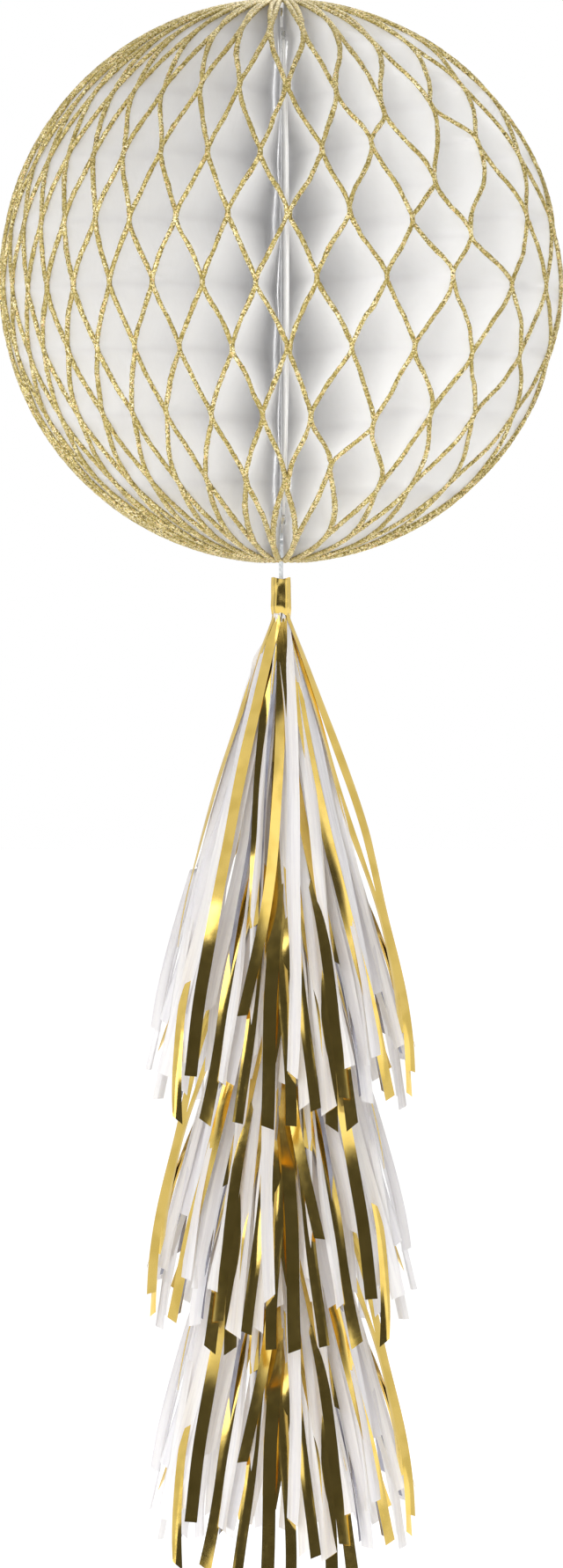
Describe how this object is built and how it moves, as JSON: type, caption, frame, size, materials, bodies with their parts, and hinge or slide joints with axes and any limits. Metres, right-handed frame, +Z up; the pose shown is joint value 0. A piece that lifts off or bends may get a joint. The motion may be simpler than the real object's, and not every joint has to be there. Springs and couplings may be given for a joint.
{
  "type": "paper honeycomb ball",
  "caption": "Hanging tissue honeycomb ball with glitter-edged leaves that open from a flat fan, and a cord tail of layered foil and tissue tassels.",
  "frame": {"origin": "centre of the hanging hole in the spine card's upper tab, 5 mm below the top of the ball, on the ball's axis", "axes": "+Z up along the ball's axis, which is also the tail's line; the seam where the fan closes faces -Y; +X is to the viewer's right from the front"},
  "size_m": [0.2537, 0.2531, 0.7086],
  "materials": {
    "white_tissue": "matte",
    "gold_glitter": "satin",
    "white_card": "matte",
    "clear_plastic": "gloss",
    "cord": "matte",
    "gathered_tissue": "matte",
    "gold_foil": "polished",
    "white_strip_tissue": "satin",
    "silver_foil": "polished"
  },
  "bodies": {
    "ball_core": {"spine_card": "white_card", "spine_tube": "white_card", "right_end_board": "white_card"},
    "left_board": {"left_end_board": "white_card"},
    "leaves_01": {"leaf_pair_01": "white_tissue"},
    "leaves_02": {"leaf_pair_02": "white_tissue"},
    "leaves_03": {"leaf_pair_03": "white_tissue"},
    "leaves_04": {"leaf_pair_04": "white_tissue"},
    "leaves_05": {"leaf_pair_05": "white_tissue"},
    "leaves_06": {"leaf_pair_06": "white_tissue"},
    "leaves_07": {"leaf_pair_07": "white_tissue"},
    "leaves_08": {"leaf_pair_08": "white_tissue"},
    "leaves_09": {"leaf_pair_09": "white_tissue"},
    "leaves_10": {"leaf_pair_10": "white_tissue"},
    "leaves_11": {"leaf_pair_11": "white_tissue"},
    "leaves_12": {"leaf_pair_12": "white_tissue"},
    "leaves_13": {"leaf_pair_13": "white_tissue"},
    "leaves_14": {"leaf_pair_14": "white_tissue"},
    "leaves_15": {"leaf_pair_15": "white_tissue"},
    "leaves_16": {"leaf_pair_16": "white_tissue"},
    "leaves_17": {"leaf_pair_17": "white_tissue"},
    "leaves_18": {"leaf_pair_18": "white_tissue"},
    "leaves_19": {"leaf_pair_19": "white_tissue"},
    "leaves_20": {"leaf_pair_20": "white_tissue"},
    "leaves_21": {"leaf_pair_21": "white_tissue"},
    "leaves_22": {"leaf_pair_22": "white_tissue"},
    "leaves_23": {"leaf_pair_23": "white_tissue"},
    "leaves_24": {"leaf_pair_24": "white_tissue"},
    "leaves_25": {"leaf_pair_25": "white_tissue"},
    "leaves_26": {"leaf_pair_26": "white_tissue"},
    "leaves_27": {"leaf_pair_27": "white_tissue"},
    "leaves_28": {"leaf_pair_28": "white_tissue"},
    "leaves_29": {"leaf_pair_29": "white_tissue"},
    "leaves_30": {"leaf_pair_30": "white_tissue"},
    "top_clip": {"top_clip": "clear_plastic"},
    "bottom_clip": {"bottom_clip": "clear_plastic"},
    "tie_loop": {"tie_loop": "cord"},
    "upper_line": {"tie_knot": "cord", "upper_cord": "cord", "upper_knot": "cord"},
    "middle_line": {"middle_cord": "cord", "middle_knot": "cord"},
    "lower_line": {"lower_cord": "cord", "lower_knot": "cord"},
    "upper_tassel": {"upper_core": "gathered_tissue", "upper_wrap": "gold_foil", "upper_gold_strips": "gold_foil", "upper_white_strips": "white_strip_tissue", "upper_silver_strips": "silver_foil"},
    "middle_tassel": {"middle_core": "gathered_tissue", "middle_wrap": "gold_foil", "middle_gold_strips": "gold_foil", "middle_white_strips": "white_strip_tissue", "middle_silver_strips": "silver_foil"},
    "lower_tassel": {"lower_core": "gathered_tissue", "lower_wrap": "gold_foil", "lower_gold_strips": "gold_foil", "lower_white_strips": "white_strip_tissue", "lower_silver_strips": "silver_foil"}
  },
  "joints": [
    {"name": "fan_fold", "type": "hinge", "parent": "ball_core", "child": "left_board", "pos_m": [0, 0, -0.122], "axis": [0, 0, 1], "range_deg": [-354, 0]},
    {"name": "leaves_01_fold", "type": "hinge", "parent": "ball_core", "child": "leaves_01", "pos_m": [0, 0, -0.122], "axis": [0, 0, 1], "range_deg": [-5.6, 0], "deforming": ["leaf_pair_01"]},
    {"name": "leaves_02_fold", "type": "hinge", "parent": "ball_core", "child": "leaves_02", "pos_m": [0, 0, -0.122], "axis": [0, 0, 1], "range_deg": [-19.26, 0], "deforming": ["leaf_pair_02"]},
    {"name": "leaves_03_fold", "type": "hinge", "parent": "ball_core", "child": "leaves_03", "pos_m": [0, 0, -0.122], "axis": [0, 0, 1], "range_deg": [-34.1, 0], "deforming": ["leaf_pair_03"]},
    {"name": "leaves_04_fold", "type": "hinge", "parent": "ball_core", "child": "leaves_04", "pos_m": [0, 0, -0.122], "axis": [0, 0, 1], "range_deg": [-50.07, 0], "deforming": ["leaf_pair_04"]},
    {"name": "leaves_05_fold", "type": "hinge", "parent": "ball_core", "child": "leaves_05", "pos_m": [0, 0, -0.122], "axis": [0, 0, 1], "range_deg": [-66.98, 0], "deforming": ["leaf_pair_05"]},
    {"name": "leaves_06_fold", "type": "hinge", "parent": "ball_core", "child": "leaves_06", "pos_m": [0, 0, -0.122], "axis": [0, 0, 1], "range_deg": [-84.53, 0], "deforming": ["leaf_pair_06"]},
    {"name": "leaves_07_fold", "type": "hinge", "parent": "ball_core", "child": "leaves_07", "pos_m": [0, 0, -0.122], "axis": [0, 0, 1], "range_deg": [-102.26, 0], "deforming": ["leaf_pair_07"]},
    {"name": "leaves_08_fold", "type": "hinge", "parent": "ball_core", "child": "leaves_08", "pos_m": [0, 0, -0.122], "axis": [0, 0, 1], "range_deg": [-119.72, 0], "deforming": ["leaf_pair_08"]},
    {"name": "leaves_09_fold", "type": "hinge", "parent": "ball_core", "child": "leaves_09", "pos_m": [0, 0, -0.122], "axis": [0, 0, 1], "range_deg": [-136.49, 0], "deforming": ["leaf_pair_09"]},
    {"name": "leaves_10_fold", "type": "hinge", "parent": "ball_core", "child": "leaves_10", "pos_m": [0, 0, -0.122], "axis": [0, 0, 1], "range_deg": [-152.26, 0], "deforming": ["leaf_pair_10"]},
    {"name": "leaves_11_fold", "type": "hinge", "parent": "ball_core", "child": "leaves_11", "pos_m": [0, 0, -0.122], "axis": [0, 0, 1], "range_deg": [-166.9, 0], "deforming": ["leaf_pair_11"]},
    {"name": "leaves_12_fold", "type": "hinge", "parent": "ball_core", "child": "leaves_12", "pos_m": [0, 0, -0.122], "axis": [0, 0, 1], "range_deg": [-180.35, 0], "deforming": ["leaf_pair_12"]},
    {"name": "leaves_13_fold", "type": "hinge", "parent": "ball_core", "child": "leaves_13", "pos_m": [0, 0, -0.122], "axis": [0, 0, 1], "range_deg": [-192.69, 0], "deforming": ["leaf_pair_13"]},
    {"name": "leaves_14_fold", "type": "hinge", "parent": "ball_core", "child": "leaves_14", "pos_m": [0, 0, -0.122], "axis": [0, 0, 1], "range_deg": [-204.03, 0], "deforming": ["leaf_pair_14"]},
    {"name": "leaves_15_fold", "type": "hinge", "parent": "ball_core", "child": "leaves_15", "pos_m": [0, 0, -0.122], "axis": [0, 0, 1], "range_deg": [-214.49, 0], "deforming": ["leaf_pair_15"]},
    {"name": "leaves_16_fold", "type": "hinge", "parent": "ball_core", "child": "leaves_16", "pos_m": [0, 0, -0.122], "axis": [0, 0, 1], "range_deg": [-224.23, 0], "deforming": ["leaf_pair_16"]},
    {"name": "leaves_17_fold", "type": "hinge", "parent": "ball_core", "child": "leaves_17", "pos_m": [0, 0, -0.122], "axis": [0, 0, 1], "range_deg": [-233.36, 0], "deforming": ["leaf_pair_17"]},
    {"name": "leaves_18_fold", "type": "hinge", "parent": "ball_core", "child": "leaves_18", "pos_m": [0, 0, -0.122], "axis": [0, 0, 1], "range_deg": [-242.04, 0], "deforming": ["leaf_pair_18"]},
    {"name": "leaves_19_fold", "type": "hinge", "parent": "ball_core", "child": "leaves_19", "pos_m": [0, 0, -0.122], "axis": [0, 0, 1], "range_deg": [-250.36, 0], "deforming": ["leaf_pair_19"]},
    {"name": "leaves_20_fold", "type": "hinge", "parent": "ball_core", "child": "leaves_20", "pos_m": [0, 0, -0.122], "axis": [0, 0, 1], "range_deg": [-258.44, 0], "deforming": ["leaf_pair_20"]},
    {"name": "leaves_21_fold", "type": "hinge", "parent": "ball_core", "child": "leaves_21", "pos_m": [0, 0, -0.122], "axis": [0, 0, 1], "range_deg": [-266.38, 0], "deforming": ["leaf_pair_21"]},
    {"name": "leaves_22_fold", "type": "hinge", "parent": "ball_core", "child": "leaves_22", "pos_m": [0, 0, -0.122], "axis": [0, 0, 1], "range_deg": [-274.28, 0], "deforming": ["leaf_pair_22"]},
    {"name": "leaves_23_fold", "type": "hinge", "parent": "ball_core", "child": "leaves_23", "pos_m": [0, 0, -0.122], "axis": [0, 0, 1], "range_deg": [-282.24, 0], "deforming": ["leaf_pair_23"]},
    {"name": "leaves_24_fold", "type": "hinge", "parent": "ball_core", "child": "leaves_24", "pos_m": [0, 0, -0.122], "axis": [0, 0, 1], "range_deg": [-290.35, 0], "deforming": ["leaf_pair_24"]},
    {"name": "leaves_25_fold", "type": "hinge", "parent": "ball_core", "child": "leaves_25", "pos_m": [0, 0, -0.122], "axis": [0, 0, 1], "range_deg": [-298.73, 0], "deforming": ["leaf_pair_25"]},
    {"name": "leaves_26_fold", "type": "hinge", "parent": "ball_core", "child": "leaves_26", "pos_m": [0, 0, -0.122], "axis": [0, 0, 1], "range_deg": [-307.47, 0], "deforming": ["leaf_pair_26"]},
    {"name": "leaves_27_fold", "type": "hinge", "parent": "ball_core", "child": "leaves_27", "pos_m": [0, 0, -0.122], "axis": [0, 0, 1], "range_deg": [-316.71, 0], "deforming": ["leaf_pair_27"]},
    {"name": "leaves_28_fold", "type": "hinge", "parent": "ball_core", "child": "leaves_28", "pos_m": [0, 0, -0.122], "axis": [0, 0, 1], "range_deg": [-326.56, 0], "deforming": ["leaf_pair_28"]},
    {"name": "leaves_29_fold", "type": "hinge", "parent": "ball_core", "child": "leaves_29", "pos_m": [0, 0, -0.122], "axis": [0, 0, 1], "range_deg": [-337.17, 0], "deforming": ["leaf_pair_29"]},
    {"name": "leaves_30_fold", "type": "hinge", "parent": "ball_core", "child": "leaves_30", "pos_m": [0, 0, -0.122], "axis": [0, 0, 1], "range_deg": [-348.67, 0], "deforming": ["leaf_pair_30"]},
    {"name": "top_clip_pull", "type": "slide", "parent": "ball_core", "child": "top_clip", "axis": [0.0087, -0.3337, 0.9426], "range_m": [0, 0.02]},
    {"name": "bottom_clip_pull", "type": "slide", "parent": "ball_core", "child": "bottom_clip", "axis": [0.0087, -0.3337, -0.9426], "range_m": [0, 0.02]},
    {"name": "tail_side_swing", "type": "hinge", "parent": "ball_core", "child": "tie_loop", "pos_m": [0, 0, -0.232], "axis": [0, 1, 0], "range_deg": [-18, 18]},
    {"name": "tail_front_swing", "type": "hinge", "parent": "tie_loop", "child": "upper_line", "pos_m": [0, 0, -0.2405], "axis": [1, 0, 0], "range_deg": [-20, 20]},
    {"name": "middle_line_swing", "type": "hinge", "parent": "upper_line", "child": "middle_line", "pos_m": [0, 0, -0.27467], "axis": [0, 1, 0], "range_deg": [-10, 10], "deforming": ["upper_gold_strips", "upper_white_strips", "upper_silver_strips"]},
    {"name": "lower_line_swing", "type": "hinge", "parent": "middle_line", "child": "lower_line", "pos_m": [0, 0, -0.37467], "axis": [0, 1, 0], "range_deg": [-12, 12], "deforming": ["middle_gold_strips", "middle_white_strips", "middle_silver_strips", "lower_gold_strips", "lower_white_strips", "lower_silver_strips"]},
    {"name": "upper_tassel_spin", "type": "hinge", "parent": "upper_line", "child": "upper_tassel", "pos_m": [0, 0, -0.2651], "axis": [0, 0, 1], "range_deg": [-180, 180]},
    {"name": "middle_tassel_spin", "type": "hinge", "parent": "middle_line", "child": "middle_tassel", "pos_m": [0, 0, -0.3651], "axis": [0, 0, 1], "range_deg": [-180, 180]},
    {"name": "lower_tassel_spin", "type": "hinge", "parent": "lower_line", "child": "lower_tassel", "pos_m": [0, 0, -0.4651], "axis": [0, 0, 1], "range_deg": [-180, 180]}
  ],
  "couplings": [
    {"joint": "leaves_01_fold", "follows": "fan_fold", "ratio": 0.015822},
    {"joint": "leaves_02_fold", "follows": "fan_fold", "ratio": 0.054415},
    {"joint": "leaves_03_fold", "follows": "fan_fold", "ratio": 0.096335},
    {"joint": "leaves_04_fold", "follows": "fan_fold", "ratio": 0.14144},
    {"joint": "leaves_05_fold", "follows": "fan_fold", "ratio": 0.18922},
    {"joint": "leaves_06_fold", "follows": "fan_fold", "ratio": 0.23877},
    {"joint": "leaves_07_fold", "follows": "fan_fold", "ratio": 0.28887},
    {"joint": "leaves_08_fold", "follows": "fan_fold", "ratio": 0.33819},
    {"joint": "leaves_09_fold", "follows": "fan_fold", "ratio": 0.38555},
    {"joint": "leaves_10_fold", "follows": "fan_fold", "ratio": 0.43012},
    {"joint": "leaves_11_fold", "follows": "fan_fold", "ratio": 0.47146},
    {"joint": "leaves_12_fold", "follows": "fan_fold", "ratio": 0.50947},
    {"joint": "leaves_13_fold", "follows": "fan_fold", "ratio": 0.54433},
    {"joint": "leaves_14_fold", "follows": "fan_fold", "ratio": 0.57635},
    {"joint": "leaves_15_fold", "follows": "fan_fold", "ratio": 0.60591},
    {"joint": "leaves_16_fold", "follows": "fan_fold", "ratio": 0.63341},
    {"joint": "leaves_17_fold", "follows": "fan_fold", "ratio": 0.65922},
    {"joint": "leaves_18_fold", "follows": "fan_fold", "ratio": 0.68372},
    {"joint": "leaves_19_fold", "follows": "fan_fold", "ratio": 0.70723},
    {"joint": "leaves_20_fold", "follows": "fan_fold", "ratio": 0.73005},
    {"joint": "leaves_21_fold", "follows": "fan_fold", "ratio": 0.75248},
    {"joint": "leaves_22_fold", "follows": "fan_fold", "ratio": 0.7748},
    {"joint": "leaves_23_fold", "follows": "fan_fold", "ratio": 0.79729},
    {"joint": "leaves_24_fold", "follows": "fan_fold", "ratio": 0.82021},
    {"joint": "leaves_25_fold", "follows": "fan_fold", "ratio": 0.84387},
    {"joint": "leaves_26_fold", "follows": "fan_fold", "ratio": 0.86857},
    {"joint": "leaves_27_fold", "follows": "fan_fold", "ratio": 0.89466},
    {"joint": "leaves_28_fold", "follows": "fan_fold", "ratio": 0.92249},
    {"joint": "leaves_29_fold", "follows": "fan_fold", "ratio": 0.95245},
    {"joint": "leaves_30_fold", "follows": "fan_fold", "ratio": 0.98495}
  ]
}
